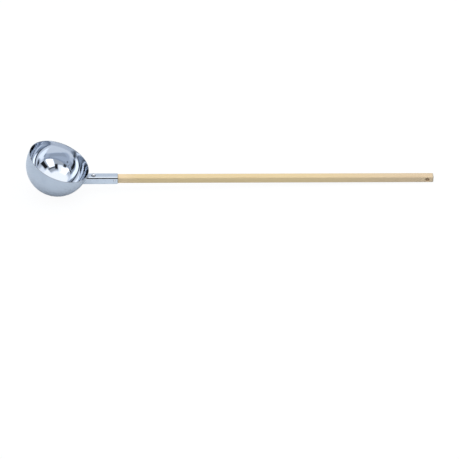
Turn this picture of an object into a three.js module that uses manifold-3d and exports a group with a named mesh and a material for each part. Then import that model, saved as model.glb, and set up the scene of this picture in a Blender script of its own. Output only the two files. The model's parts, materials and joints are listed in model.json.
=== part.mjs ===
// A long-handled kitchen ladle. A pressed steel bowl carries a socket folded from steel sheet and welded to its side.
// A square wooden handle slides into the socket and is locked there by one screw through the socket's top.
// Millimetres, +Z up. The ladle lies as it is put down on a table, on the round of its bowl and the far end of
// its handle, with the handle along +X. The origin is under the middle of the whole ladle, on the table.

import * as THREE from "three";
import { mergeVertices } from "three/addons/utils/BufferGeometryUtils.js";
import Module from "manifold-3d";

// Bowl: a straight wall under the rim, a round bottom, and a small flat for standing
const bowlDiameter = 180;
const bowlWall = 1.2;
const bowlStraightWall = 14.3;
const bowlBaseDiameter = 48;

// How the handle is set to the bowl
const handleRiseDegrees = 20.6; // between the handle and the plane of the rim
const handleDrop = 30.4; // from the rim's edge to the handle's axis, square to the axis

// Wooden handle, square with rounded corners
const handleWidth = 21;
const handleCorner = 4.5;
const handleLength = 1000;
const handleEndRound = 2.5;
const hangingHoleDiameter = 12;
const hangingHoleInset = 18.5; // from the far end to the middle of the hole

// Socket: one folded sheet, whose front plate laps over a flange turned down from its top
const socketSheet = 1.1;
const socketFit = 0.5; // play between handle and socket, each side
const socketFold = 5; // outside radius of the folds
const socketReach = 82; // from the rim's edge to the mouth, along the handle
const seamFlange = 14; // depth of the flange behind the front plate
const seamEdgeDrop = 2.2; // from the top of the socket down to the front plate's upper edge

// Weld bead round the socket's foot
const weldWidth = 2.6;
const weldHeight = 2.4;

// Rivet that closes the seam near the mouth, set flush inside
const rivetInset = 9; // from the mouth
const rivetDepth = 10; // from the top of the socket
const rivetHeadDiameter = 6.5;
const rivetHeadHeight = 1.6;
const rivetShankDiameter = 3;
const rivetTailInset = 0.25; // how far the tail stays inside the flange

// Fixing screw and its washer, slackened at rest so that the handle is free to slide
const screwInset = 20; // from the handle's inner end
const screwHeadDiameter = 9.5;
const screwHeadHeight = 2.6;
const screwDiameter = 4.4;
const screwPointLength = 1.6;
const screwBite = 1.2; // how far the point goes into the wood when it is tight
const recessLength = 5.2;
const recessWidth = 1.1;
const recessDepth = 1.3;
const washerDiameter = 12;
const washerThickness = 1;

// Clearances
const seatGap = 0.3; // between pieces that touch
const screwPlay = 0.3; // round the screw in the socket, the washer and the wood
const rivetPlay = 0.3;

// Fineness of the round shapes
const bowlSides = 64;
const bowlSteps = 14;
const rimSteps = 4;
const foldSteps = 5;
const smallSides = 20;
const domeSteps = 4;

const wasm = await Module();
wasm.setup();

// Places in the handle's own frame: X runs along the handle's axis from the point nearest the rim, Z is up
const handleRise = THREE.MathUtils.degToRad(handleRiseDegrees);
const bowlRadius = bowlDiameter / 2;
const baseDepth = Math.sqrt(bowlRadius ** 2 - (bowlBaseDiameter / 2) ** 2); // below the centre of the round
const rimCentre = new THREE.Vector3(
  -bowlRadius * Math.cos(handleRise),
  0,
  handleDrop + bowlRadius * Math.sin(handleRise),
);
const roundCentre = new THREE.Vector3(
  rimCentre.x - bowlStraightWall * Math.sin(handleRise),
  0,
  rimCentre.z - bowlStraightWall * Math.cos(handleRise),
);
const handleHalf = handleWidth / 2;
const boreHalf = handleHalf + socketFit;
const socketHalf = boreHalf + socketSheet;
const socketFront = socketHalf + seatGap + socketSheet;
// The handle's upper inner edge stops at the line of the bowl's wall
const handleStart =
  roundCentre.x +
  (bowlRadius + seatGap + (handleHalf - roundCentre.z) * Math.sin(handleRise)) / Math.cos(handleRise);
const handleEnd = handleStart + handleLength;
const screwAt = handleStart + screwInset;
const screwSlack = screwBite + seatGap;
const washerSeat = socketHalf + seatGap + screwSlack;
const screwSeat = washerSeat + washerThickness + seatGap;
const screwLength = screwSeat - handleHalf - seatGap;

// Merges a geometry's shared points and drops the empty triangles left at its poles
function closed(geometry) {
  geometry.deleteAttribute("normal");
  geometry.deleteAttribute("uv");
  const merged = mergeVertices(geometry, 1e-4);
  const corners = merged.index.array;
  const kept = [];
  for (let i = 0; i < corners.length; i += 3) {
    const [a, b, c] = [corners[i], corners[i + 1], corners[i + 2]];
    if (a !== b && b !== c && c !== a) kept.push(a, b, c);
  }
  merged.setIndex(kept);
  return merged;
}

function solid(geometry) {
  const merged = closed(geometry);
  const vertProperties = new Float32Array(merged.attributes.position.array);
  const triVerts = new Uint32Array(merged.index.array);
  return new wasm.Manifold(new wasm.Mesh({ numProp: 3, vertProperties, triVerts }));
}

function geometryOf(body) {
  const cut = body.getMesh();
  const geometry = new THREE.BufferGeometry();
  geometry.setAttribute("position", new THREE.BufferAttribute(new Float32Array(cut.vertProperties), 3));
  geometry.setIndex(Array.from(cut.triVerts));
  return geometry;
}

// Turned shape about Z, from half of its outline as [radius, height] pairs going up the outside
function turned(outline, sides) {
  const points = outline.map(([radius, height]) => new THREE.Vector2(radius, height));
  return new THREE.LatheGeometry(points, sides).rotateX(Math.PI / 2);
}

// Extruded section along X: the section's first axis becomes Y and its second Z
function alongX(shape, start, length, options = {}) {
  const geometry = new THREE.ExtrudeGeometry(shape, {
    depth: length,
    bevelEnabled: false,
    curveSegments: foldSteps,
    ...options,
  });
  const turn = new THREE.Matrix4().makeBasis(
    new THREE.Vector3(0, 1, 0),
    new THREE.Vector3(0, 0, 1),
    new THREE.Vector3(1, 0, 0),
  );
  return geometry.applyMatrix4(turn).translate(start, 0, 0);
}

// Rectangle with rounded corners between two opposite corners
function roundedBox(left, bottom, right, top, radius, path = new THREE.Shape()) {
  path.absarc(right - radius, top - radius, radius, 0, Math.PI / 2);
  path.absarc(left + radius, top - radius, radius, Math.PI / 2, Math.PI);
  path.absarc(left + radius, bottom + radius, radius, Math.PI, 1.5 * Math.PI);
  path.absarc(right - radius, bottom + radius, radius, 1.5 * Math.PI, 2 * Math.PI);
  path.closePath();
  return path;
}

// Quarter arc as [radius, height] pairs, from the side of a dome to its top
function dome(radius, height, base) {
  return Array.from({ length: domeSteps + 1 }, (_, i) => {
    const angle = (Math.PI / 2) * (i / domeSteps);
    return [i === domeSteps ? 0 : radius * Math.cos(angle), base + height * Math.sin(angle)];
  });
}

// Half of the bowl's outline, grown by a distance, from the middle of its flat up to the top of the round.
// Heights are from the plane of the rim.
function bowlSide(grow) {
  const radius = bowlRadius + grow;
  const floor = baseDepth + grow;
  const start = Math.acos(floor / radius);
  const points = [[0, -bowlStraightWall - floor]];
  for (let i = 0; i <= bowlSteps; i++) {
    const angle = start + (Math.PI / 2 - start) * (i / bowlSteps);
    points.push([radius * Math.sin(angle), -bowlStraightWall - radius * Math.cos(angle)]);
  }
  return points;
}

function bowlShell() {
  const edge = bowlWall / 2;
  const rim = Array.from({ length: rimSteps + 1 }, (_, i) => {
    const angle = Math.PI * (i / rimSteps);
    return [bowlRadius - edge + edge * Math.cos(angle), -edge + edge * Math.sin(angle)];
  });
  return closed(turned([...bowlSide(0), ...rim, ...bowlSide(-bowlWall).reverse()], bowlSides));
}

// The whole space of the bowl grown by a distance, in the handle's frame, for cutting what is fitted to it
function bowlSpace(grow) {
  const outline = [...bowlSide(grow), [bowlRadius + grow, grow], [0, grow]];
  const geometry = turned(outline, bowlSides).rotateY(handleRise);
  return solid(geometry.translate(rimCentre.x, rimCentre.y, rimCentre.z));
}

// Section of the folded sheet. It starts at the front plate's upper edge, goes round the outside under the handle,
// up the back and over the top, ends in the flange behind the front plate, and comes back along the inside.
function foldedSheet() {
  const inner = socketFold - socketSheet;
  const seamTop = socketHalf - seamEdgeDrop;
  const flangeEnd = socketHalf - seamFlange;
  const plateBack = socketHalf + seatGap;
  const corner = boreHalf - inner;
  const frontCorner = plateBack - inner;
  const shape = new THREE.Shape();
  shape.moveTo(-socketFront, seamTop);
  shape.absarc(-frontCorner, -corner, socketFold, Math.PI, 1.5 * Math.PI);
  shape.absarc(corner, -corner, socketFold, 1.5 * Math.PI, 2 * Math.PI);
  shape.absarc(corner, corner, socketFold, 0, Math.PI / 2);
  shape.absarc(-corner, corner, socketFold, Math.PI / 2, Math.PI);
  shape.lineTo(-socketHalf, flangeEnd);
  shape.lineTo(-boreHalf, flangeEnd);
  shape.absarc(-corner, corner, inner, Math.PI, Math.PI / 2, true);
  shape.absarc(corner, corner, inner, Math.PI / 2, 0, true);
  shape.absarc(corner, -corner, inner, 0, -Math.PI / 2, true);
  shape.absarc(-frontCorner, -corner, inner, -Math.PI / 2, -Math.PI, true);
  shape.lineTo(-plateBack, seamTop);
  shape.closePath();
  return shape;
}

// Round cutter along Y or Z, centred on a point
function roundCutter(diameter, length, axis, centre) {
  const geometry = new THREE.CylinderGeometry(diameter / 2, diameter / 2, length, smallSides);
  if (axis === "z") geometry.rotateX(Math.PI / 2);
  return solid(geometry.translate(...centre));
}

function socketBody() {
  const screwHole = roundCutter(screwDiameter + 2 * screwPlay, socketHalf, "z", [screwAt, 0, socketHalf]);
  const rivetHole = roundCutter(rivetShankDiameter + 2 * rivetPlay, socketFront, "y", [
    socketReach - rivetInset,
    -socketFront,
    socketHalf - rivetDepth,
  ]);
  const tube = solid(alongX(foldedSheet(), roundCentre.x, socketReach - roundCentre.x));
  return geometryOf(tube.subtract(bowlSpace(seatGap)).subtract(screwHole).subtract(rivetHole));
}

// Bead that fills the corner between the socket's outside and the bowl's wall
function weldBead() {
  const inside = seatGap;
  const outside = seatGap + weldWidth;
  const ring = roundedBox(
    -socketFront - outside,
    -socketHalf - outside,
    socketHalf + outside,
    socketHalf + outside,
    socketFold + outside,
  );
  ring.holes.push(
    roundedBox(
      -socketFront - inside,
      -socketHalf - inside,
      socketHalf + inside,
      socketHalf + inside,
      socketFold + inside,
      new THREE.Path(),
    ),
  );
  const sleeve = solid(alongX(ring, roundCentre.x, socketReach - roundCentre.x));
  return geometryOf(sleeve.intersect(bowlSpace(seatGap + weldHeight)).subtract(bowlSpace(seatGap)));
}

function seamRivet() {
  const shank = 2 * socketSheet + 2 * seatGap - rivetTailInset;
  const outline = [
    [0, -shank],
    [rivetShankDiameter / 2, -shank],
    [rivetShankDiameter / 2, 0],
    ...dome(rivetHeadDiameter / 2, rivetHeadHeight, 0),
  ];
  return closed(turned(outline, smallSides));
}

function handleBar() {
  const section = roundedBox(-handleHalf, -handleHalf, handleHalf, handleHalf, handleCorner);
  const bar = alongX(section, handleStart + handleEndRound, handleLength - 2 * handleEndRound, {
    bevelEnabled: true,
    bevelThickness: handleEndRound,
    bevelSize: handleEndRound,
    bevelOffset: -handleEndRound,
    bevelSegments: 3,
  });
  const hangingHole = roundCutter(hangingHoleDiameter, 2 * handleWidth, "y", [handleEnd - hangingHoleInset, 0, 0]);
  const pilotDepth = screwBite + 2 * screwPlay;
  const pilotHole = roundCutter(screwDiameter + 2 * screwPlay, 2 * pilotDepth, "z", [screwAt, 0, handleHalf]);
  return geometryOf(solid(bar).subtract(hangingHole).subtract(pilotHole));
}

// Pan-headed screw with a cross recess, standing on the plane under its head
function fixingScrew() {
  const outline = [
    [0, -screwLength],
    [screwDiameter / 2, -screwLength + screwPointLength],
    [screwDiameter / 2, 0],
    ...dome(screwHeadDiameter / 2, screwHeadHeight, 0),
  ];
  let body = solid(turned(outline, smallSides));
  for (const quarter of [0, Math.PI / 2]) {
    const slot = new THREE.BoxGeometry(recessLength, recessWidth, 2 * recessDepth).rotateZ(quarter);
    body = body.subtract(solid(slot.translate(0, 0, screwHeadHeight)));
  }
  return geometryOf(body);
}

function screwWasher() {
  const inner = screwDiameter / 2 + screwPlay;
  const outer = washerDiameter / 2;
  const outline = [
    [inner, 0],
    [outer, 0],
    [outer, washerThickness],
    [inner, washerThickness],
    [inner, 0],
  ];
  return closed(turned(outline, smallSides));
}

const satinSteel = new THREE.MeshStandardMaterial({ color: 0xb4bcc4, roughness: 0.28, metalness: 1 });
const sheetSteel = new THREE.MeshStandardMaterial({ color: 0xb9c4d2, roughness: 0.35, metalness: 1 });
const weldSteel = new THREE.MeshStandardMaterial({ color: 0x9aa0a6, roughness: 0.5, metalness: 1 });
const fastenerSteel = new THREE.MeshStandardMaterial({ color: 0xc4c8cc, roughness: 0.25, metalness: 1 });
const paleWood = new THREE.MeshStandardMaterial({ color: 0xe6cfa4, roughness: 0.6, metalness: 0 });

function piece(name, geometry, material, place = [0, 0, 0]) {
  const mesh = new THREE.Mesh(geometry, material);
  mesh.name = name;
  mesh.position.set(...place);
  return mesh;
}

// The whole ladle in the handle's frame
const lying = new THREE.Group();

const bowl = piece("bowl", bowlShell(), satinSteel, rimCentre.toArray());
bowl.rotation.y = handleRise;

const rivet = piece("seam_rivet", seamRivet(), fastenerSteel, [
  socketReach - rivetInset,
  -socketFront - seatGap,
  socketHalf - rivetDepth,
]);
rivet.rotation.x = Math.PI / 2;

lying.add(
  bowl,
  piece("socket", socketBody(), sheetSteel),
  piece("socket_weld", weldBead(), weldSteel),
  rivet,
  piece("handle", handleBar(), paleWood),
  piece("screw_washer", screwWasher(), fastenerSteel, [screwAt, 0, washerSeat]),
  piece("fixing_screw", fixingScrew(), fastenerSteel, [screwAt, 0, screwSeat]),
);

// Put down on the table: the handle dips until the round of the bowl and the handle's lower far edge both touch.
// The far edge is a small arc, so the table is a tangent common to two circles.
const edgeCentre = new THREE.Vector3(handleEnd - handleEndRound, 0, -handleHalf + handleEndRound);
const along = edgeCentre.x - roundCentre.x;
const above = roundCentre.z - edgeCentre.z;
const dip = Math.asin((bowlRadius - handleEndRound) / Math.hypot(along, above)) - Math.atan2(above, along);
lying.rotation.y = dip;

const ladle = new THREE.Group();
ladle.add(lying);
ladle.updateMatrixWorld(true);
const box = new THREE.Box3().setFromObject(lying, true);
lying.position.set(-(box.min.x + box.max.x) / 2, 0, -box.min.z);

export default ladle;
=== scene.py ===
import json
import math

import bmesh
import bpy
import numpy as np
from mathutils import Matrix


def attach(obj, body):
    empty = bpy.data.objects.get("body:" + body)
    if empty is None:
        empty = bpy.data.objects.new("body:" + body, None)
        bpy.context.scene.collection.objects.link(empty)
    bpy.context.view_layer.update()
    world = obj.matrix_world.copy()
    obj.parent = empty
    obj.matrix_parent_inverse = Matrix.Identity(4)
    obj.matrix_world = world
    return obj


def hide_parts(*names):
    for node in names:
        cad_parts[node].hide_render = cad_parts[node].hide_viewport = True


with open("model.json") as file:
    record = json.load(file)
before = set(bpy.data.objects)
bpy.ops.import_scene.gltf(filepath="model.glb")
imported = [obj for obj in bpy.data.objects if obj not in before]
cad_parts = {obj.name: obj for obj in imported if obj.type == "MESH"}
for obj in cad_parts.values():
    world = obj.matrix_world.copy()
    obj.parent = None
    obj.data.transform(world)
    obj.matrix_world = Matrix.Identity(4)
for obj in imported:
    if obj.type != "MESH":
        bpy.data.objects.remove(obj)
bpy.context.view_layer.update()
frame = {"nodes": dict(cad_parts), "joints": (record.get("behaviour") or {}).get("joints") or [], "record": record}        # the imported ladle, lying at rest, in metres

print("frame:", ", ".join(sorted(frame["nodes"])))

# Sizes that several pieces share, in millimetres and degrees. A piece's own sizes stand beside its code.
ladle = dict(
    bowlRadius=90.0,            # outside
    straightWall=14.3,          # of the bowl, under its rim
    base=48.0,                  # across the flat under the bowl
    rise=20.6,                  # from the handle up to the plane of the rim
    drop=30.4,                  # from the rim's edge to the handle's axis, square to the axis
    handleHalf=10.5,            # half the handle's width
    sheet=1.1,                  # thickness of the socket
    fit=0.5,                    # play between handle and socket, each side
    reach=82.0,                 # of the socket, from the rim's edge to its mouth
    screwInset=20.0,            # from the handle's inner end
    gap=0.3,                    # between pieces that touch
)
millimetre = 0.001


# Rows are the directions of own X, Y and Z after a turn about Y
def turnedAxes(angle):
    return np.array([
        [math.cos(angle), 0, -math.sin(angle)],
        [0, 1, 0],
        [math.sin(angle), 0, math.cos(angle)],
    ])


# How the ladle lies, from the frame. The handle's own axes start on its axis, under the rim's near edge.
joints = {joint["name"]: joint for joint in frame["joints"]}
mounts = {mount["name"]: mount for mount in frame["record"]["mounts"]}
slideWay = joints["handle_slide"]["axis"]
rise = math.radians(ladle["rise"])
dip = math.atan2(-slideWay[2], slideWay[0])         # the handle slopes down to its far end
tilt = dip + rise                                   # of the rim's plane
handleAxes = turnedAxes(dip)
bowlAxes = turnedAxes(tilt)
baseDepth = math.sqrt(ladle["bowlRadius"] ** 2 - (ladle["base"] / 2) ** 2)      # under the round's centre
bowlDepth = ladle["straightWall"] + baseDepth
rimCentre = np.array(mounts["bowl_base"]["pos_m"]) + bowlAxes[2] * bowlDepth * millimetre
origin = rimCentre + (bowlAxes[0] * ladle["bowlRadius"] - handleAxes[2] * ladle["drop"]) * millimetre

# Places in the handle's axes that several pieces share. The bowl's round has its centre at roundX and
# roundZ. The handle starts where its upper edge comes within the gap of the bowl's straight wall.
roundX = -ladle["bowlRadius"] * math.cos(rise) - ladle["straightWall"] * math.sin(rise)
roundZ = ladle["drop"] + ladle["bowlRadius"] * math.sin(rise) - ladle["straightWall"] * math.cos(rise)
wallOff = ladle["bowlRadius"] + ladle["gap"] + (ladle["handleHalf"] - roundZ) * math.sin(rise)
handleStart = roundX + wallOff / math.cos(rise)
screwAt = handleStart + ladle["screwInset"]
socketHalf = ladle["handleHalf"] + ladle["fit"] + ladle["sheet"]
plateBack = socketHalf + ladle["gap"]               # the socket's front plate lies over a flange
socketFront = plateBack + ladle["sheet"]


def onHandle(points):
    return origin + points * millimetre @ handleAxes


def onBowl(points):
    return rimCentre + points * millimetre @ bowlAxes


# Mesh helpers
mergeWithin = 1e-6              # metres
plainSharp = 30                 # degrees from which an edge shades sharp


# Quads between the neighbours of a grid, and over its seam where rows or columns close on themselves
def gridFaces(rows, cols, joinRows=False, joinCols=False):
    r, c = np.meshgrid(
        np.arange(rows if joinRows else rows - 1),
        np.arange(cols if joinCols else cols - 1),
        indexing="ij",
    )
    nextR = (r + 1) % rows
    nextC = (c + 1) % cols
    corners = [r * cols + c, r * cols + nextC, nextR * cols + nextC, nextR * cols + c]
    return np.stack(corners, -1).reshape(-1, 4)


# Merges the points that meet at seams and poles, turns all faces outwards and shades them
def closeUp(mesh, sharp=plainSharp):
    work = bmesh.new()
    work.from_mesh(mesh)
    bmesh.ops.remove_doubles(work, verts=work.verts, dist=mergeWithin)
    bmesh.ops.dissolve_degenerate(work, edges=work.edges, dist=mergeWithin)
    bmesh.ops.recalc_face_normals(work, faces=work.faces)
    work.to_mesh(mesh)
    work.free()
    mesh.shade_smooth()
    mesh.set_sharp_from_angle(angle=math.radians(sharp))


def addObject(name, data):
    made = bpy.data.objects.new(name, data)
    bpy.context.scene.collection.objects.link(made)
    return made


def makePiece(name, points, faces, material=None, sharp=plainSharp, **values):
    mesh = bpy.data.meshes.new(name)
    mesh.from_pydata(points.reshape(-1, 3).tolist(), [], faces.tolist())
    for key, value in values.items():
        layer = mesh.attributes.new(key, "FLOAT", "POINT")
        layer.data.foreach_set("value", np.ravel(value).astype(np.float32))
    closeUp(mesh, sharp)
    if material:
        mesh.materials.append(material)
    return addObject(name, mesh)


# Works out the piece's modifiers once and keeps the result as its mesh
def settle(piece):
    graph = bpy.context.evaluated_depsgraph_get()
    done = bpy.data.meshes.new_from_object(piece.evaluated_get(graph))
    piece.modifiers.clear()
    piece.data = done
    closeUp(done)


def cutOut(piece, cutter):
    cut = piece.modifiers.new("cut", "BOOLEAN")
    cut.operation = "DIFFERENCE"
    cut.solver = "EXACT"
    cut.object = cutter
    settle(piece)
    bpy.data.objects.remove(cutter)


# Cuts a turned hole about Z, or about Y where it goes across the handle
def cutBore(piece, radius, height, at, sides, across=False):
    own = turned(radius, height, sides)
    own = faceFront(own) if across else own
    faces = gridFaces(len(radius), sides, joinCols=True)
    cutOut(piece, makePiece("boreCutter", onHandle(own + np.array(at)), faces))


def softenEdges(piece, width, segments, angle):
    edge = piece.modifiers.new("edge", "BEVEL")
    edge.width = width * millimetre
    edge.segments = segments
    edge.limit_method = "ANGLE"
    edge.angle_limit = math.radians(angle)
    settle(piece)


def dress(piece, body, node):
    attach(piece, body)
    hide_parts(node)
    print("piece:", piece.name, len(piece.data.polygons), "faces")


def roundAngles(count):
    return np.linspace(0, 2 * np.pi, count, endpoint=False)


# A turned shape: outline pairs of radius and height carried round Z. Radius zero closes to a pole.
def turned(radius, height, around):
    r, a = np.meshgrid(np.asarray(radius, float), roundAngles(around), indexing="ij")
    h = np.broadcast_to(np.asarray(height, float)[:, None], r.shape)
    return np.stack([r * np.cos(a), r * np.sin(a), h], -1)


# Turns own Z to the ladle's front, -Y
def faceFront(own):
    return np.stack([own[..., 0], -own[..., 2], own[..., 1]], -1)


def arc(centre, radius, start, stop, steps):
    angle = np.radians(np.linspace(start, stop, steps))
    return np.stack([centre[0] + radius * np.cos(angle), centre[1] + radius * np.sin(angle)], -1)


# A straight run with two points close to its ends, so that the flat shades flat beside a curve
def straight(a, b, steps=4, near=0.03, inner=0.2):
    share = np.concatenate([[near], np.linspace(inner, 1 - inner, steps), [1 - near]])[:, None]
    return np.asarray(a, float) * (1 - share) + np.asarray(b, float) * share


# Waves are given as count in a full turn, size and shift
def sumOfSines(angle, waves):
    return sum(size * np.sin(count * angle + shift) for count, size, shift in waves)


# How far it is along a line of points to each of them
def lengthsAlong(line):
    return np.concatenate([[0], np.cumsum(np.linalg.norm(np.diff(line, axis=0), axis=1))])


# Shader maths

class Wire:
    def __init__(self, paint, socket):
        self.paint = paint
        self.socket = socket

    def __add__(self, other):
        return self.paint.maths("ADD", self, other)

    __radd__ = __add__

    def __sub__(self, other):
        return self.paint.maths("SUBTRACT", self, other)

    def __rsub__(self, other):
        return self.paint.maths("SUBTRACT", other, self)

    def __mul__(self, other):
        return self.paint.maths("MULTIPLY", self, other)

    __rmul__ = __mul__

    def __truediv__(self, other):
        return self.paint.maths("DIVIDE", self, other)

    def __pow__(self, other):
        return self.paint.maths("POWER", self, other)

    def __neg__(self):
        return self.paint.maths("MULTIPLY", self, -1)


class Paint:
    def __init__(self, tree):
        self.tree = tree
        tree.nodes.clear()

    # One node of any type: its settings first, then the values or links of its sockets
    def node(self, kind, settings=None, sockets=None, out=0):
        made = self.tree.nodes.new(kind)
        for key, value in (settings or {}).items():
            setattr(made, key, value)
        for key, value in (sockets or {}).items():
            if isinstance(value, Wire):
                self.tree.links.new(value.socket, made.inputs[key])
            else:
                made.inputs[key].default_value = value
        return Wire(self, made.outputs[out]) if made.outputs else None

    def maths(self, operation, *values):
        return self.node("ShaderNodeMath", {"operation": operation}, dict(enumerate(values)))

    def smooth(self, value, low, high):
        settings = {"interpolation_type": "SMOOTHSTEP"}
        sockets = {"Value": value, "From Min": low, "From Max": high}
        return self.node("ShaderNodeMapRange", settings, sockets)

    # One between two limits and zero beyond them, softened at both
    def between(self, value, limits, soft):
        low, high = limits
        past = self.smooth(value, high - soft, high + soft)
        return self.smooth(value, low - soft, low + soft) * (1 - past)

    def attribute(self, name):
        return self.node("ShaderNodeAttribute", {"attribute_name": name}, out="Fac")

    # Object coordinates seen from a place, after a turn about Y
    def ownCoordinates(self, place=(0, 0, 0), turn=0.0):
        seen = self.node("ShaderNodeTexCoord", out="Object")
        sockets = {"Vector": seen, "Location": tuple(place), "Rotation": (0, turn, 0)}
        return self.node("ShaderNodeMapping", {"vector_type": "TEXTURE"}, sockets)

    def parts(self, vector):
        return [self.node("ShaderNodeSeparateXYZ", None, {0: vector}, out=i) for i in range(3)]

    def vector(self, x, y, z):
        return self.node("ShaderNodeCombineXYZ", None, {0: x, 1: y, 2: z})

    # Noise lies about a half, so 0.5 is taken off where it has to swing both ways
    def noise(self, vector, scale=1.0, detail=2.0, roughness=0.5):
        sockets = {"Vector": vector, "Scale": scale, "Detail": detail, "Roughness": roughness}
        return self.node("ShaderNodeTexNoise", None, sockets)

    # Noise of one scale along X and another across it
    def grain(self, parts, scales, **settings):
        x, y, z = parts
        along, across = scales
        return self.noise(self.vector(x * along, y * across, z * across), **settings)

    # This node's sockets share names, so numbers tell them apart: 6 and 7 are colours, and 2 is the result
    def mixColour(self, share, a, b):
        return self.node("ShaderNodeMix", {"data_type": "RGBA"}, {0: share, 6: a, 7: b}, out=2)

    def bump(self, height, distance, strength):
        sockets = {"Height": height, "Distance": distance, "Strength": strength}
        return self.node("ShaderNodeBump", None, sockets)

    def surface(self, sockets):
        shader = self.node("ShaderNodeBsdfPrincipled", None, sockets)
        self.node("ShaderNodeOutputMaterial", None, {"Surface": shader})


def newMaterial(name):
    material = bpy.data.materials.new(name)
    material.use_nodes = True
    return material, Paint(material.node_tree)


# In the finishes below, lengths and depths are in metres and scales per metre. A span is where a mask
# begins and where it is full.

# Bowl: a round bottom that softens into a small flat, a straight wall and a rounded rim.
# At angle a from the axis the round is radius * sin(a) wide and radius * cos(a) deep. The depth is the
# softened smaller of that and the flat's depth, and the straight wall is added to it.
bowlShape = dict(
    wall=1.2, soften=0.8, softenTo=60, around=288, steps=64, wallRings=4, rimSteps=11,
    waves=((5, 0.09, 0.4), (9, 0.06, 1.9), (14, 0.035, 3.3), (23, 0.012, 5.2)),
    rimFade=12.0, baseFade=30.0,                    # the waves grow over these lengths
)
# Satin outside with spun lines round the axis and painted shade towards the base, bright inside
bowlFinish = dict(
    outside=(0.485, 0.53, 0.59, 1), low=(0.33, 0.365, 0.42, 1), dull=(0.43, 0.48, 0.55, 1),
    inside=(0.58, 0.62, 0.68, 1), wall=(0.45, 0.49, 0.555, 1), edge=(0.34, 0.36, 0.39, 1),
    lineScale=2600.0, lineStretch=9.0, broadScale=260.0, broadStretch=30.0, cloudScale=26.0,
    handledSpan=(0.5, 0.72), handledTone=0.35, lineTone=0.3,
    shadedBaseSpan=(0.015, 0.135),                         # painted shade: darker towards the base, along the outline
    wallSpan=(-0.017, -0.011),                      # a brushed band under the rim
    edgeSpan=(-0.0014, -0.0006),                    # the cut edge, darker and rougher
    outsideRoughness=0.30, lineRough=0.16, handledRough=0.05, broadRough=0.05, edgeRough=0.15,
    insideRoughness=0.05, insideLineRough=0.02, insideHandledRough=0.012,
    wallRoughness=0.11, wallLineRough=0.06,
    polish=0.97, broadBump=0.4, lineDepth=0.00003, lineBump=0.25,
)


def bowlSteel():
    material, paint = newMaterial("bowlSteel")
    f = bowlFinish
    own = paint.ownCoordinates(rimCentre, tilt)
    x, y, z = paint.parts(own)
    inside = paint.attribute("inside")
    run = paint.attribute("run")                    # along the outline, so the lines run round the axis
    spun = paint.vector(x * f["lineStretch"], y * f["lineStretch"], run * f["lineScale"])
    lines = paint.noise(spun, detail=3, roughness=0.6)
    broad = paint.vector(x * f["broadStretch"], y * f["broadStretch"], run * f["broadScale"])
    broad = paint.noise(broad)
    handled = paint.smooth(paint.noise(own, f["cloudScale"], detail=3, roughness=0.55), *f["handledSpan"])
    wall = paint.smooth(z, *f["wallSpan"])
    edge = paint.smooth(z, *f["edgeSpan"])
    line = lines - 0.5
    outer = f["outsideRoughness"] + line * f["lineRough"] + handled * f["handledRough"]
    outer = outer + (broad - 0.5) * f["broadRough"]
    inner = f["insideRoughness"] + line * f["insideLineRough"] + handled * f["insideHandledRough"]
    inner = inner + wall * (f["wallRoughness"] - f["insideRoughness"] + line * f["wallLineRough"])
    satin = paint.mixColour(handled * f["handledTone"] + line * f["lineTone"], f["outside"], f["dull"])
    # Painted shade: the outside darkens towards the base, in place of the darker reflection there
    satin = paint.mixColour(1 - paint.smooth(run, *f["shadedBaseSpan"]), satin, f["low"])
    bright = paint.mixColour(wall, f["inside"], f["wall"])
    whole = paint.mixColour(inside, satin, bright)
    height = lines * (1 - inside * f["polish"]) + broad * f["broadBump"] * (1 - inside)
    paint.surface({
        "Base Color": paint.mixColour(edge, whole, f["edge"]),
        "Metallic": 1.0,
        "Roughness": outer * (1 - inside) + inner * inside + edge * f["edgeRough"],
        "Normal": paint.bump(height, f["lineDepth"], f["lineBump"]),
    })
    return material


def bowlSide(grow):
    s = bowlShape
    radius = ladle["bowlRadius"] + grow
    flat = baseDepth + grow
    angle = np.radians(np.linspace(0, 90, s["steps"]))
    deep = radius * np.cos(angle)
    soft = 0.5 * (deep + flat - np.sqrt((deep - flat) ** 2 + s["soften"] ** 2))
    deep = np.where(angle > np.radians(s["softenTo"]), deep, soft)
    return radius * np.sin(angle), -ladle["straightWall"] - deep


def makeBowl():
    s = bowlShape
    edge = s["wall"] / 2
    outR, outH = bowlSide(0)
    inR, inH = bowlSide(-s["wall"])
    rim = arc((outR[-1] - edge, -edge), edge, 0, 180, s["rimSteps"])
    wallUp = np.linspace(outH[-1], -edge, s["wallRings"] + 2)[1:-1]
    outWall = np.full_like(wallUp, outR[-1])
    inWall = np.full_like(wallUp, inR[-1])
    radius = np.concatenate([outR, outWall, rim[:, 0], inWall, inR[::-1]])
    height = np.concatenate([outH, wallUp, rim[:, 1], wallUp[::-1], inH[::-1]])
    points = turned(radius, height, s["around"])
    oneSide = len(outR) + len(wallUp)
    # The press leaves shallow waves down the inside: sums of sines round the axis, none at rim or flat
    wave = sumOfSines(roundAngles(s["around"]), s["waves"])
    offBase = radius - ladle["base"] / 2
    grows = np.clip(-height / s["rimFade"], 0, 1) * np.clip(offBase / s["baseFade"], 0, 1)
    grows[:oneSide + len(rim)] = 0
    points[..., :2] *= (1 - grows[:, None] * wave[None] / np.maximum(radius, 1)[:, None])[..., None]
    run = lengthsAlong(np.stack([radius, height], -1)) * millimetre
    inside = np.concatenate([np.zeros(oneSide), np.linspace(0, 1, len(rim)), np.ones(oneSide)])
    bowl = makePiece(
        "bowlPressing", onBowl(points), gridFaces(len(radius), s["around"], joinCols=True), bowlSteel(),
        sharp=40, inside=np.repeat(inside, s["around"]), run=np.repeat(run, s["around"]),
    )
    dress(bowl, "bowl_and_socket", "bowl")


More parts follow.
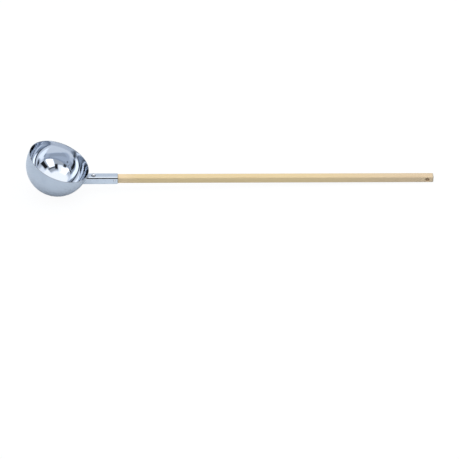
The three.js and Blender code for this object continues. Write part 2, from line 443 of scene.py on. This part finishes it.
# Socket: one folded sheet carried along the handle. Its section runs from the front plate's upper edge
# down the plate, under, up the back, over the top and down into a flange behind the plate. Each line of it
# starts on the bowl's round: x is the round's centre plus the root of radius squared less y and z squared,
# both from that centre.
socketShape = dict(
    fold=5.0,                           # outside radius of the folds
    seamDrop=3.0,                       # from the top down to the front plate's upper edge
    flange=14.0,                        # from the top down to the flange's end
    seat=0.12,                          # off the bowl's round
    hole=2.5, holeDeep=4.0, holeSides=48,
    over=1.0,                           # how far the cutter stands out of the sheet
    edgeRound=0.22, edgeSegments=2, edgeAngle=50,
    foldSteps=13, lengths=26,
    seamFrom=40, seamTo=51,             # turn of the fold over which painted shade fills the seam's crevice, in degrees from its top
    seamMargin=0.05,                    # takes in the plate's back
)
# Fine satin along the handle, painted shade in the seam's crevice, and grime and painted shade round the
# fasteners
socketFinish = dict(
    sheet=(0.60, 0.65, 0.715, 1), dull=(0.51, 0.565, 0.64, 1), seam=(0.02, 0.022, 0.028, 1),
    lineScales=(22.0, 3200.0), cloudScale=60.0, handledSpan=(0.48, 0.7), handledTone=0.3, lineTone=0.35,
    grimeAndShade=0.8, rivetSpan=(0.0031, 0.0044), frontSpan=(0.0125, 0.0132),
    screwSpan=(0.0058, 0.0078), topSpan=(0.0105, 0.0115),
    roughness=0.18, lineRough=0.14, handledRough=0.05, seamRough=0.25, lineDepth=0.00003, lineBump=0.25,
)


def socketSteel():
    material, paint = newMaterial("socketSteel")
    f = socketFinish
    own = paint.ownCoordinates(origin, dip)
    x, y, z = paint.parts(own)
    rivetX, rivetZ = (rivetAt[i] * millimetre for i in (0, 2))
    fromRivet = paint.maths("SQRT", (x - rivetX) ** 2 + (z - rivetZ) ** 2)
    fromScrew = paint.maths("SQRT", (x - screwAt * millimetre) ** 2 + y * y)
    # Grime and painted shade: a ring round the rivet's head on the front plate, and round the screw on the
    # top under the washer
    front = (1 - paint.smooth(fromRivet, *f["rivetSpan"])) * paint.smooth(-y, *f["frontSpan"])
    top = (1 - paint.smooth(fromScrew, *f["screwSpan"])) * paint.smooth(z, *f["topSpan"])
    # The seam's painted shade, from its attribute, together with the rings of grime and painted shade
    # above
    seam = paint.maths("MAXIMUM", paint.attribute("seam"), (front + top) * f["grimeAndShade"])
    line = paint.grain((x, y, z), f["lineScales"], detail=3, roughness=0.6)
    handled = paint.smooth(paint.noise(own, f["cloudScale"], detail=3, roughness=0.55), *f["handledSpan"])
    worn = handled * f["handledTone"] + (line - 0.5) * f["lineTone"]
    tone = paint.mixColour(worn, f["sheet"], f["dull"])
    rough = f["roughness"] + (line - 0.5) * f["lineRough"] + handled * f["handledRough"]
    paint.surface({
        "Base Color": paint.mixColour(seam, tone, f["seam"]),
        "Metallic": 1.0,
        "Roughness": rough + seam * f["seamRough"],
        "Normal": paint.bump(line, f["lineDepth"], f["lineBump"]),
    })
    return material


def onRound(y, z, grow):
    return roundX + np.sqrt((ladle["bowlRadius"] + grow) ** 2 - y ** 2 - (z - roundZ) ** 2)


def foldedSection():
    s = socketShape
    half, front, fold, n = socketHalf, socketFront, s["fold"], s["foldSteps"]
    corner = half - fold
    frontCorner = front - fold
    plateEdge = (-front, half - s["seamDrop"])
    flangeEnd = (-half, half - s["flange"])
    return np.concatenate([
        [plateEdge],
        straight(plateEdge, (-front, -corner)),
        arc((-frontCorner, -corner), fold, 180, 270, n),
        straight((-frontCorner, -half), (corner, -half)),
        arc((corner, -corner), fold, 270, 360, n),
        straight((half, -corner), (half, corner)),
        arc((corner, corner), fold, 0, 90, n),
        straight((corner, half), (-corner, half)),
        arc((-corner, corner), fold, 90, 180, n),
        straight((-half, corner), flangeEnd),
        [flangeEnd],
    ])


# The line moved inwards by the sheet's thickness, along the normal of its direction at each point
def inwards(line, thickness):
    way = np.gradient(line, axis=0)
    way /= np.linalg.norm(way, axis=1, keepdims=True)
    return line + np.stack([-way[:, 1], way[:, 0]], -1) * thickness


# How much painted shade the seam's crevice takes at each point of the section: it darkens down the fold
# towards the plate and stays dark behind the plate. The plate's cut edge, the first point, is painted dark
# too.
def seamShade(section):
    s = socketShape
    corner = socketHalf - s["fold"]
    y, z = section.T
    lean = np.degrees(np.arctan2(-corner - y, z - corner))
    down = np.clip((lean - s["seamFrom"]) / (s["seamTo"] - s["seamFrom"]), 0, 1)
    onFold = (y < -corner) & (y > -plateBack - s["seamMargin"]) & (z > -corner)
    shade = np.where(onFold, down * down * (3 - 2 * down), 0)
    shade[0] = 1
    return shade


def makeSocket():
    s = socketShape
    outer = foldedSection()
    section = np.concatenate([outer, inwards(outer, ladle["sheet"])[::-1]])
    count = len(section)
    share = np.linspace(0, 1, s["lengths"])[:, None]
    start = onRound(section[:, 0], section[:, 1], s["seat"])[None]
    x = start + (ladle["reach"] - start) * share
    y, z = (np.broadcast_to(section[:, i], x.shape) for i in range(2))
    i = np.arange(len(outer) - 1)
    cap = np.stack([i, i + 1, count - 2 - i, count - 1 - i], -1)        # an end face, across the sheet
    mouth = cap[:, ::-1] + (s["lengths"] - 1) * count
    faces = np.concatenate([gridFaces(s["lengths"], count, joinCols=True), cap, mouth])
    socket = makePiece(
        "socketSheet", onHandle(np.stack([x, y, z], -1)), faces, socketSteel(),
        seam=np.broadcast_to(seamShade(section), x.shape),
    )
    softenEdges(socket, s["edgeRound"], s["edgeSegments"], s["edgeAngle"])
    # Hole for the screw, widening at the top
    r, edge, over = s["hole"], s["edgeRound"], s["over"]
    radius = [0, r, r, r + edge + over, 0]
    height = [-s["holeDeep"], -s["holeDeep"], -edge, over, over]
    cutBore(socket, radius, height, (screwAt, 0, socketHalf), s["holeSides"])
    dress(socket, "bowl_and_socket", "socket")


# Weld bead: a rounded fillet carried round the socket's foot. Its toe spreads over the bowl and its top
# up the socket, each following a quarter round, and sums of sines ripple its size along the way.
weldShape = dict(
    spread=2.5, climb=2.3, sunk=0.25,
    fullness=0.85,                      # power of the quarter round, below one for a fuller bead
    wander=((3, 0.06, 0.6), (7, 0.036, 2.1), (17, 0.024, 0.0)),
    ripple=1.5, rippleDepth=0.05,
    rippleBow=1.6,                      # how far the ripples bow back in the middle of the bead
    rippleDrift=((5, 0.7, 0.0),),
    toePower=3,                         # how fast the tint fades from the bead's edges to its middle
    sides=9, perMillimetre=5, sideSteps=20, cornerSteps=14,
)
# Greyer than the sheet, with the ripples' hollows dulled and a faint straw tint at its edge
weldFinish = dict(
    metal=(0.56, 0.57, 0.60, 1), hollow=(0.36, 0.36, 0.38, 1), tint=(0.52, 0.46, 0.38, 1),
    grainScale=900.0, grainTone=0.5, crestSpan=(0.1, 0.75), toeTint=0.35,
    roughness=0.34, grainRough=0.3, hollowRough=0.12, grainDepth=0.00008, grainBump=0.5,
)


def weldSteel():
    material, paint = newMaterial("weldSteel")
    f = weldFinish
    toe = paint.attribute("toe")
    crest = paint.attribute("crest")
    grain = paint.noise(paint.ownCoordinates(origin, dip), f["grainScale"], detail=4, roughness=0.65)
    high = paint.smooth(crest + (grain - 0.5) * f["grainTone"], *f["crestSpan"])
    tone = paint.mixColour(high, f["hollow"], f["metal"])
    paint.surface({
        "Base Color": paint.mixColour(toe * f["toeTint"], tone, f["tint"]),
        "Metallic": 1.0,
        "Roughness": f["roughness"] + (grain - 0.5) * f["grainRough"] + (1 - crest) * f["hollowRough"],
        "Normal": paint.bump(grain, f["grainDepth"], f["grainBump"]),
    })
    return material


# The socket's outside as one closed line
def socketOutline():
    half, front, fold = socketHalf, socketFront, socketShape["fold"]
    corner = half - fold
    frontCorner = front - fold
    steps, n = weldShape["sideSteps"], weldShape["cornerSteps"]
    return np.concatenate([
        np.linspace((-front, corner), (-front, -corner), steps),
        arc((-frontCorner, -corner), fold, 180, 270, n)[1:-1],
        np.linspace((-frontCorner, -half), (corner, -half), steps),
        arc((corner, -corner), fold, 270, 360, n)[1:-1],
        np.linspace((half, -corner), (half, corner), steps),
        arc((corner, corner), fold, 0, 90, n)[1:-1],
        np.linspace((corner, half), (-frontCorner, half), steps),
        arc((-frontCorner, corner), fold, 90, 180, n)[1:-1],
        [(-front, corner)],
    ])


def makeWeld():
    s = weldShape
    outline = socketOutline()
    run = lengthsAlong(outline)
    count = int(run[-1] * s["perMillimetre"])
    along = np.linspace(0, run[-1], count, endpoint=False)
    line = np.stack([np.interp(along, run, outline[:, i]) for i in range(2)], -1)
    way = np.roll(line, -1, 0) - np.roll(line, 1, 0)
    way /= np.linalg.norm(way, axis=1, keepdims=True)
    out = np.stack([way[:, 1], -way[:, 0]], -1)
    turn = roundAngles(count)
    q = np.linspace(0, 1, s["sides"])               # from the toe on the bowl to the top on the socket
    middle = np.sin(q * np.pi)
    beats = round(run[-1] / s["ripple"])
    drift = beats * turn + sumOfSines(turn, s["rippleDrift"])
    wave = np.sin(drift[:, None] - s["rippleBow"] * middle[None])
    size = 1 + sumOfSines(turn, s["wander"])
    grow = size[:, None] * (1 + s["rippleDepth"] * wave * middle[None])
    spread = s["spread"] * grow * np.cos(q * np.pi / 2) ** s["fullness"]
    climb = s["climb"] * grow * np.sin(q * np.pi / 2) ** s["fullness"]
    root = np.full((count, 1), -s["sunk"])          # the hidden corner inside the bead
    spread = np.concatenate([spread, root], 1)
    climb = np.concatenate([climb, root], 1)
    y = line[:, None, 0] + out[:, None, 0] * spread
    z = line[:, None, 1] + out[:, None, 1] * spread
    x = onRound(y, z, 0) + climb
    crest = np.concatenate([0.5 + 0.5 * wave, np.zeros((count, 1))], 1)
    toe = np.concatenate([np.abs(2 * q - 1) ** s["toePower"], [1]])
    faces = gridFaces(count, s["sides"] + 1, joinRows=True, joinCols=True)
    weld = makePiece(
        "weldBead", onHandle(np.stack([x, y, z], -1)), faces, weldSteel(),
        sharp=60, crest=crest, toe=np.tile(toe, count),
    )
    dress(weld, "bowl_and_socket", "socket_weld")


# Bright plain steel of screw, washer and rivet, with turning marks and worn edges
fastenerFinish = dict(
    bright=(0.74, 0.76, 0.79, 1), dull=(0.42, 0.44, 0.47, 1),
    markScale=5200.0, markTone=0.3, grainScale=700.0, wornSpan=(0.42, 0.68), wornTone=0.55,
    roughness=0.13, wornRough=0.14, markRough=0.1, grainBump=0.4, markDepth=0.00004, markBump=0.3,
)


def fastenerSteel():
    material, paint = newMaterial("fastenerSteel")
    f = fastenerFinish
    marks = paint.noise(paint.vector(paint.attribute("ring") * f["markScale"], 0.0, 0.0), roughness=0.6)
    grain = paint.noise(paint.ownCoordinates(), f["grainScale"], detail=3, roughness=0.6)
    worn = paint.smooth(grain, *f["wornSpan"])
    tone = worn * f["wornTone"] + (marks - 0.5) * f["markTone"]
    paint.surface({
        "Base Color": paint.mixColour(tone, f["bright"], f["dull"]),
        "Metallic": 1.0,
        "Roughness": f["roughness"] + worn * f["wornRough"] + (marks - 0.5) * f["markRough"],
        "Normal": paint.bump(marks + grain * f["grainBump"], f["markDepth"], f["markBump"]),
    })
    return material


# Distance from the turning axis in metres, which the turning marks follow
def ringOf(points):
    return np.hypot(points[..., 0], points[..., 1]) * millimetre


# Rivet: a low dome on a short shank. Above a thin straight lip of radius a, the dome is its height times
# 1 - (r / a) ** fullness tall at radius r.
rivetShape = dict(
    inset=9.0, depth=10.0,              # from the socket's mouth and from its top
    head=6.5, dome=1.35, fullness=2.6, lip=0.22, bevel=0.12, seat=0.02, shank=3.0, tail=2.2,
    edgeTo=0.6, edgeSteps=8, topFrom=0.5, topSteps=7,       # rings of the dome, closer towards its edge
    around=48,
)
rivetAt = (ladle["reach"] - rivetShape["inset"], -socketFront, socketHalf - rivetShape["depth"])


def makeRivet(steel):
    s = rivetShape
    a = s["head"] / 2
    stem = s["shank"] / 2
    edge = np.linspace(1, s["edgeTo"], s["edgeSteps"])
    top = np.linspace(s["topFrom"], 0, s["topSteps"])
    r = a * np.concatenate([edge, top])
    h = s["lip"] + s["dome"] * (1 - (r / a) ** s["fullness"])
    radius = np.concatenate([[0, stem, stem, a - s["bevel"], a], r])
    height = np.concatenate([[-s["tail"], -s["tail"], s["seat"], s["seat"], s["bevel"]], h])
    own = turned(radius, height, s["around"])
    points = faceFront(own) + np.array(rivetAt)
    rivet = makePiece(
        "seamRivet", onHandle(points), gridFaces(len(radius), s["around"], joinCols=True), steel,
        sharp=40, ring=ringOf(own),
    )
    dress(rivet, "bowl_and_socket", "seam_rivet")


# Handle: a square with rounded corners carried along X. Near the ends it draws in by a quarter round,
# and it closes over a slightly crowned end face.
handleShape = dict(
    length=1000.0, corner=4.5, cornerSteps=9, sideSteps=3, endRound=2.5, endSteps=7, crown=0.5,
    faceShares=(0.0, 0.35, 0.7, 0.92),              # rings of the end face, out from its middle
    plain=8.0, rings=118,                           # rings along the bar, from this far off its ends
    fine=12.0, fineRings=16,                        # closer ones from this far before the hole
    fineLead=2.0,                                   # between the two kinds
    holeInset=18.5, hole=6.0, holeEdge=1.5, holeSides=56,
    pilot=2.5, pilotDepth=1.8, pilotPoint=0.8, pilotSides=40,
    over=1.0,                                       # how far a cutter stands out of the wood
)
# Growth rings round a pith outside the bar, long streaks, short pores, darker end grain, and painted
# shade.
# Scales are along the handle and across it, and shares say how strongly each tone is mixed in.
woodFinish = dict(
    early=(0.67, 0.528, 0.298, 1), late=(0.55, 0.39, 0.196, 1),
    lateRise=(0.35, 0.9), lateFall=(0.93, 1.0), lateShare=0.42,
    pith=(0.041, -0.063), ringWidth=0.0021, ringSlope=0.0035,
    swayScales=(1.4, 9.0), sway=0.011, waverScales=(14.0, 120.0), waver=0.0011,
    streak=(0.594, 0.446, 0.24, 1), streakScales=(3.2, 330.0), streakSpan=(0.45, 0.75), streakShare=0.35,
    fresh=(0.73, 0.56, 0.375, 1), freshSpan=(0.09, 0.15), freshShare=0.5,       # less yellowed by hands
    fibreScales=(30.0, 2600.0), fibreLevel=0.42, fibreShare=0.35,
    pore=(0.42, 0.29, 0.15, 1), poreScales=(75.0, 2300.0), poreSpan=(0.66, 0.74), poreShare=0.38,
    # Painted shade: darker and pinker towards the far end, where less light falls
    farShade=(0.57, 0.432, 0.312, 1), farShadeSpan=(0.55, 1.0), farShadeShare=0.55,
    # A painted shadow line on the wood where the socket's mouth ends
    mouthShadow=(0.30, 0.24, 0.17, 1), shadowBeyond=0.0012, shadowSpan=(0.0004, 0.0018), shadowShare=0.7,
    endGrain=(0.42, 0.365, 0.285, 1), endLate=0.5, endFibre=0.3, endWander=0.003,
    nearSpan=(0.0, 0.002), farSpan=(-0.0046, -0.0016),                          # from each end; at the far end it also darkens the rounding and the faces near it, painted shade
    roughness=0.52, fibreRough=0.2, lateRough=0.05, endRough=0.2, gloss=0.32,
    fibreBump=0.6, lateBump=0.5, poreBump=1.2, grainDepth=0.00012, grainBump=0.35,
)


def paleWood(nearEnd, farEnd):
    material, paint = newMaterial("paleWood")
    f = woodFinish
    parts = paint.parts(paint.ownCoordinates(origin, dip))
    x, y, z = parts
    sway = paint.grain(parts, f["swayScales"]) - 0.5
    waver = paint.grain(parts, f["waverScales"]) - 0.5
    fromPith = paint.maths("SQRT", (y - f["pith"][0]) ** 2 + (z - f["pith"][1]) ** 2)
    growth = fromPith + sway * f["sway"] + waver * f["waver"] + x * f["ringSlope"]
    ring = paint.maths("FRACT", growth / f["ringWidth"])
    late = paint.smooth(ring, *f["lateRise"]) * (1 - paint.smooth(ring, *f["lateFall"]))
    streak = paint.grain(parts, f["streakScales"], detail=3, roughness=0.6)
    streak = paint.smooth(streak, *f["streakSpan"])
    fibre = paint.grain(parts, f["fibreScales"], detail=3, roughness=0.65)
    pore = paint.smooth(paint.grain(parts, f["poreScales"], detail=1), *f["poreSpan"])
    fresh = 1 - paint.smooth(x, *f["freshSpan"])
    # painted shade towards the far end
    farShade = paint.smooth(x, *f["farShadeSpan"])
    fromMouth = paint.maths("ABSOLUTE", x - (ladle["reach"] * millimetre + f["shadowBeyond"]))
    mouthShadowMask = 1 - paint.smooth(fromMouth, *f["shadowSpan"])                # painted shadow on the wood where the socket ends
    # End grain, darker in its own right; at the far end the dark also covers the rounding and a few
    # millimetres of the faces, as painted shade
    edge = x + (fibre - 0.5) * f["endWander"]
    ends = paint.smooth(edge - farEnd, *f["farSpan"]) + (1 - paint.smooth(edge - nearEnd, *f["nearSpan"]))
    long = paint.mixColour(late * f["lateShare"], f["early"], f["late"])
    long = paint.mixColour(streak * f["streakShare"], long, f["streak"])
    long = paint.mixColour(fresh * f["freshShare"], long, f["fresh"])
    long = paint.mixColour((fibre - f["fibreLevel"]) * f["fibreShare"], long, f["late"])
    long = paint.mixColour(pore * f["poreShare"], long, f["pore"])
    long = paint.mixColour(farShade * f["farShadeShare"], long, f["farShade"])
    long = paint.mixColour(mouthShadowMask * f["shadowShare"], long, f["mouthShadow"])
    cut = paint.mixColour(late * f["endLate"] + (fibre - 0.5) * f["endFibre"], f["endGrain"], f["pore"])
    rough = f["roughness"] + (fibre - 0.5) * f["fibreRough"]
    rough = rough + late * f["lateRough"] + ends * f["endRough"]
    height = fibre * f["fibreBump"] + late * f["lateBump"] - pore * f["poreBump"]
    paint.surface({
        "Base Color": paint.mixColour(ends, long, cut),
        "Roughness": rough,
        "Specular IOR Level": f["gloss"],
        "Normal": paint.bump(height, f["grainDepth"], f["grainBump"]),
    })
    return material


def barSection(half, corner):
    flat = half - corner
    n, steps = handleShape["cornerSteps"], handleShape["sideSteps"]
    return np.concatenate([
        straight((half, -flat), (half, flat), steps),
        arc((flat, flat), corner, 0, 90, n),
        straight((flat, half), (-flat, half), steps),
        arc((-flat, flat), corner, 90, 180, n),
        straight((-half, flat), (-half, -flat), steps),
        arc((-flat, -flat), corner, 180, 270, n),
        straight((-flat, -half), (flat, -half), steps),
        arc((flat, -flat), corner, 270, 360, n),
    ])


def makeHandle():
    s = handleShape
    half = ladle["handleHalf"]
    end = handleStart + s["length"]
    holeAt = end - s["holeInset"]
    # Rings at an end: how far from it each lies, how far it is drawn in, and its share of the end face
    quarter = np.radians(np.linspace(0, 90, s["endSteps"]))
    face = np.array(s["faceShares"])
    back = np.concatenate([s["crown"] * face ** 2, s["endRound"] * (1 - np.cos(quarter)) + s["crown"]])
    drawn = np.concatenate([np.ones_like(face), 1 - np.sin(quarter)])
    share = np.concatenate([face, np.ones_like(quarter)])
    middle = np.concatenate([
        np.linspace(handleStart + s["plain"], holeAt - s["fine"] - s["fineLead"], s["rings"]),
        np.linspace(holeAt - s["fine"], end - s["plain"], s["fineRings"]),
    ])
    place = np.concatenate([handleStart + back, middle, end - back[::-1]])
    drawn = np.concatenate([drawn, np.zeros_like(middle), drawn[::-1]])[:, None, None]
    share = np.concatenate([share, np.ones_like(middle), share[::-1]])[:, None, None]
    full = barSection(half, s["corner"])
    small = barSection(half - s["endRound"], s["corner"] - s["endRound"])
    section = (full[None] * (1 - drawn) + small[None] * drawn) * share
    x = np.broadcast_to(place[:, None], section.shape[:2])
    points = onHandle(np.stack([x, section[..., 0], section[..., 1]], -1))
    wood = paleWood(handleStart * millimetre, end * millimetre)
    handle = makePiece("handleBar", points, gridFaces(len(place), len(full), joinCols=True), wood)
    # Hanging hole from front to back, widening at both faces
    edge, over = s["holeEdge"], s["over"]
    wide = s["hole"] + edge + over
    outside, inside = half + over, half - edge
    radius = [0, wide, s["hole"], s["hole"], wide, 0]
    height = [-outside, -outside, -inside, inside, outside, outside]
    cutBore(handle, radius, height, (holeAt, 0, 0), s["holeSides"], across=True)
    # Pilot hole for the screw, in the top near the inner end
    deep = -s["pilotDepth"]
    height = [deep - s["pilotPoint"], deep, 2 * over, 2 * over]
    cutBore(handle, [0, s["pilot"], s["pilot"], 0], height, (screwAt, 0, half), s["pilotSides"])
    dress(handle, "handle_bar", "handle")


# Washer: a flat ring with its four edges rounded. At rest the screw is slack, so the washer stands above
# the socket by the way that is left to lower it.
washerShape = dict(inner=2.5, outer=6.0, thick=1.0, edge=0.25, edgeSteps=4, around=56)
slack = -joints["screw_lift"]["range_m"][0] / millimetre
washerAt = (screwAt, 0, socketHalf + ladle["gap"] + slack)


def makeWasher(steel):
    s = washerShape
    e, n = s["edge"], s["edgeSteps"]
    inner, outer, top = s["inner"] + e, s["outer"] - e, s["thick"] - e
    ring = np.concatenate([
        arc((outer, e), e, -90, 0, n),
        arc((outer, top), e, 0, 90, n),
        arc((inner, top), e, 90, 180, n),
        arc((inner, e), e, 180, 270, n),
    ])
    own = turned(ring[:, 0], ring[:, 1], s["around"])
    faces = gridFaces(len(ring), s["around"], joinRows=True, joinCols=True)
    washer = makePiece(
        "screwWasher", onHandle(own + np.array(washerAt)), faces, steel, sharp=50, ring=ringOf(own),
    )
    dress(washer, "washer", "screw_washer")


# Screw: a pan head on a threaded shank. The thread's radius rises and falls with the fraction of
# height / pitch less turn, which climbs one pitch in a right-hand turn.
screwShape = dict(
    head=9.5, tall=2.6, side=0.8, fullness=2.8, domeSteps=18,
    neck=0.1, lowerEdge=((-0.3, 0.0), (-0.06, 0.08), (0.0, 0.35)),  # out from the head's radius, and up
    crest=2.2, root=1.72, pitch=1.5, crestWidth=1.35, flank=2.1, runOut=0.5, point=1.6,
    threadTop=-0.05, rings=76,
    recess=2.6, recessWidth=0.55, recessDepth=1.3, recessFoot=0.72, recessMouth=1.06, over=0.4, around=72,
)
screwSeat = washerAt[2] + washerShape["thick"] + ladle["gap"]
screwLength = screwSeat - ladle["handleHalf"] - ladle["gap"]        # its point is just clear of the wood


def makeScrew(steel):
    s = screwShape
    at = np.array([screwAt, 0, screwSeat])
    a = s["head"] / 2
    z = np.linspace(-screwLength, s["threadTop"], s["rings"])
    angle = roundAngles(s["around"])
    wave = (z[:, None] / s["pitch"] - angle[None] / (2 * np.pi)) % 1
    ridge = np.clip(s["crestWidth"] - np.abs(wave * 2 - 1) * s["flank"], 0, 1)
    fade = np.clip(-z / s["runOut"], 0, 1)[:, None]
    taper = np.clip((z + screwLength) / s["point"], 0, 1)[:, None]
    shank = (s["root"] + (s["crest"] - s["root"]) * ridge * fade) * taper
    edge = np.array(s["lowerEdge"])
    dome = np.linspace(a, 0, s["domeSteps"])
    domeHeight = s["side"] + (s["tall"] - s["side"]) * (1 - (dome / a) ** s["fullness"])
    head = np.concatenate([[s["root"] + s["neck"]], a + edge[:, 0], dome])
    height = np.concatenate([z, [0], edge[:, 1], domeHeight])
    radius = np.concatenate([shank, np.repeat(head[:, None], s["around"], 1)])
    h = np.broadcast_to(height[:, None], radius.shape)
    own = np.stack([radius * np.cos(angle), radius * np.sin(angle), h], -1)
    screw = makePiece(
        "fixingScrew", onHandle(own + at), gridFaces(len(height), s["around"], joinCols=True), steel,
        ring=ringOf(own),
    )
    # Cross recess: a plus sign, one arm's corners turned four times, that narrows as it goes down
    reach, width = s["recess"], s["recessWidth"]
    arm = np.array([(reach, -width), (reach, width), (width, width)])
    quarterTurn = np.array([[0, 1], [-1, 0]])
    plus = np.concatenate([arm @ np.linalg.matrix_power(quarterTurn, k) for k in range(4)])
    size = np.array([0, s["recessFoot"], s["recessMouth"], 0])[:, None, None]
    floor, top = s["tall"] - s["recessDepth"], s["tall"] + s["over"]
    level = np.array([floor, floor, top, top])[:, None, None]
    own = np.concatenate([plus * size, np.broadcast_to(level, (4, len(plus), 1))], -1)
    cutOut(screw, makePiece("recessCutter", onHandle(own + at), gridFaces(4, len(plus), joinCols=True)))
    dress(screw, "screw", "fixing_screw")


makeBowl()
makeSocket()
makeWeld()
fastener = fastenerSteel()
makeRivet(fastener)
makeHandle()
makeWasher(fastener)
makeScrew(fastener)

# Studio: a pale table, and a room that only the light and the reflections see. Sizes are in metres and
# angles in degrees, from the front towards the right and up from the table.
studio = dict(
    white=(1, 1, 1, 1), blue=(0.90, 0.965, 1.06, 1), whiteSpan=(1.1, 1.6),      # dim panels are bluer
    frontWall=0.62, backWall=1.05, wallSpan=(58, 100),
    table=(0.50, 0.54, 0.58, 1), tableSheen=(0.72, 0.755, 0.79, 1), tableWhite=0.88, tableGlow=1.06,
    tableSize=9.0, tableDrop=0.0002,
    lampSize=(2.4, 1.2), lampPower=11.0, lampAt=(-0.1, 0.1, 2.4),
)
# Each panel lies over those before it. Lean is how far left it goes as it rises.
panels = dict(
    backHigh=dict(level=0.86, turn=(120, 400), lift=(30, 62), soft=6, lean=0),
    backHighLeft=dict(level=0.86, turn=(-400, -120), lift=(30, 62), soft=6, lean=0),
    rightWall=dict(level=1.3, turn=(67, 100), lift=(18, 60), soft=4, lean=0),
    rightSlope=dict(level=1.5, turn=(52, 92), lift=(37, 62), soft=4, lean=0),
    ceiling=dict(level=1.52, turn=(-400, 400), lift=(57, 95), soft=5, lean=0),
    leftHigh=dict(level=1.85, turn=(-76, -50), lift=(34, 45), soft=1.5, lean=0),
    frontHigh=dict(level=2.3, turn=(-57, 0), lift=(40, 63), soft=5, lean=0.13),
    frontFlag=dict(level=1.5, turn=(-18, 0), lift=(36, 62), soft=3, lean=0),
    window=dict(level=2.7, turn=(21, 46), lift=(5, 39), soft=4, lean=0.15),
    windowEdge=dict(level=0.02, turn=(56, 72), lift=(-12, 34), soft=1.5, lean=0.3),
    windowTop=dict(level=0.12, turn=(12, 52), lift=(40, 45), soft=2.5, lean=0),
    tripod=dict(level=0.02, turn=(2, 16), lift=(32, 51), soft=2.5, lean=0),
    screen=dict(level=0.06, turn=(-38, -21), lift=(28, 42), soft=3, lean=0.05),
    door=dict(level=0.25, turn=(107, 121), lift=(-12, 9), soft=3, lean=0),
)


def makeRoom():
    world = bpy.data.worlds.new("studioRoom")
    world.use_nodes = True
    bpy.context.scene.world = world
    paint = Paint(world.node_tree)
    x, y, z = paint.parts(paint.node("ShaderNodeTexCoord", out="Generated"))
    turn = paint.maths("ARCTAN2", x, -y) * (180 / math.pi)
    lift = paint.maths("ARCSINE", z) * (180 / math.pi)
    front = 1 - paint.smooth(paint.maths("ABSOLUTE", turn), *studio["wallSpan"])
    level = studio["backWall"] + (studio["frontWall"] - studio["backWall"]) * front
    for panel in panels.values():
        inTurn = paint.between(turn + lift * panel["lean"], panel["turn"], panel["soft"])
        inLift = paint.between(lift, panel["lift"], panel["soft"])
        level = level + (panel["level"] - level) * (inTurn * inLift)
    tint = paint.mixColour(paint.smooth(level, *studio["whiteSpan"]), studio["blue"], studio["white"])
    room = paint.node("ShaderNodeBackground", None, {"Color": tint, "Strength": level})
    white = paint.node("ShaderNodeBackground", None, {"Color": studio["white"], "Strength": 1.0})
    seen = paint.node("ShaderNodeLightPath", out="Is Camera Ray")
    mixed = paint.node("ShaderNodeMixShader", None, {0: seen, 1: room, 2: white})
    paint.node("ShaderNodeOutputWorld", None, {"Surface": mixed})


# The camera sees the table almost white, and the steel sees it paler than the rest of the light does
def tablePaper():
    material, paint = newMaterial("paleTable")
    seen = paint.node("ShaderNodeLightPath", out="Is Camera Ray")
    gloss = paint.node("ShaderNodeLightPath", out="Is Glossy Ray")
    paper = paint.node("ShaderNodeBsdfDiffuse", None, {"Color": studio["table"]})
    sheen = paint.node("ShaderNodeBsdfDiffuse", None, {"Color": studio["tableSheen"]})
    glow = {"Color": studio["white"], "Strength": studio["tableGlow"]}
    white = paint.node("ShaderNodeEmission", None, glow)
    lit = paint.node("ShaderNodeMixShader", None, {0: gloss, 1: paper, 2: sheen})
    lit = paint.node("ShaderNodeMixShader", None, {0: seen * studio["tableWhite"], 1: lit, 2: white})
    paint.node("ShaderNodeOutputMaterial", None, {"Surface": lit})
    return material


def makeTable():
    half = studio["tableSize"] / 2
    x, y = np.meshgrid([-half, half], [-half, half], indexing="ij")
    points = np.stack([x, y, np.full_like(x, -studio["tableDrop"])], -1)
    table = makePiece("paleTable", points, gridFaces(2, 2), tablePaper())
    if table.data.polygons[0].normal.z < 0:
        table.data.flip_normals()


def makeLamp():
    lamp = bpy.data.lights.new("ceilingSoftbox", "AREA")
    lamp.shape = "RECTANGLE"
    lamp.size, lamp.size_y = studio["lampSize"]
    lamp.energy = studio["lampPower"]
    box = addObject("ceilingSoftbox", lamp)
    box.location = studio["lampAt"]
    box.visible_glossy = False
    box.visible_camera = False


makeRoom()
makeTable()
makeLamp()
print("studio: table, room with", len(panels), "panels, and lamp")

# Camera: looks at the ladle from the front and above through a long lens. Its place is measured in metres
# from where the handle's axes start: back along the view, then aside and up across it.
eye = dict(azimuth=-2.432, elevation=38.627, distance=7.3131, aside=0.40301, raised=-0.14603, lens=200.0)


def makeCamera():
    turn = math.radians(eye["azimuth"])
    lift = math.radians(eye["elevation"])
    back = np.array([math.sin(turn) * math.cos(lift), -math.cos(turn) * math.cos(lift), math.sin(lift)])
    right = np.array([math.cos(turn), math.sin(turn), 0])
    up = np.cross(back, right)
    place = origin + back * eye["distance"] + right * eye["aside"] + up * eye["raised"]
    lens = bpy.data.cameras.new("catalogueCamera")
    lens.lens = eye["lens"]
    camera = addObject("catalogueCamera", lens)
    rows = [[right[i], up[i], back[i], place[i]] for i in range(3)]
    camera.matrix_world = Matrix(rows + [[0, 0, 0, 1]])
    bpy.context.scene.camera = camera


makeCamera()
bpy.context.scene.view_settings.view_transform = "Standard"
print("camera:", eye["lens"], "mm lens,", eye["distance"], "m away")
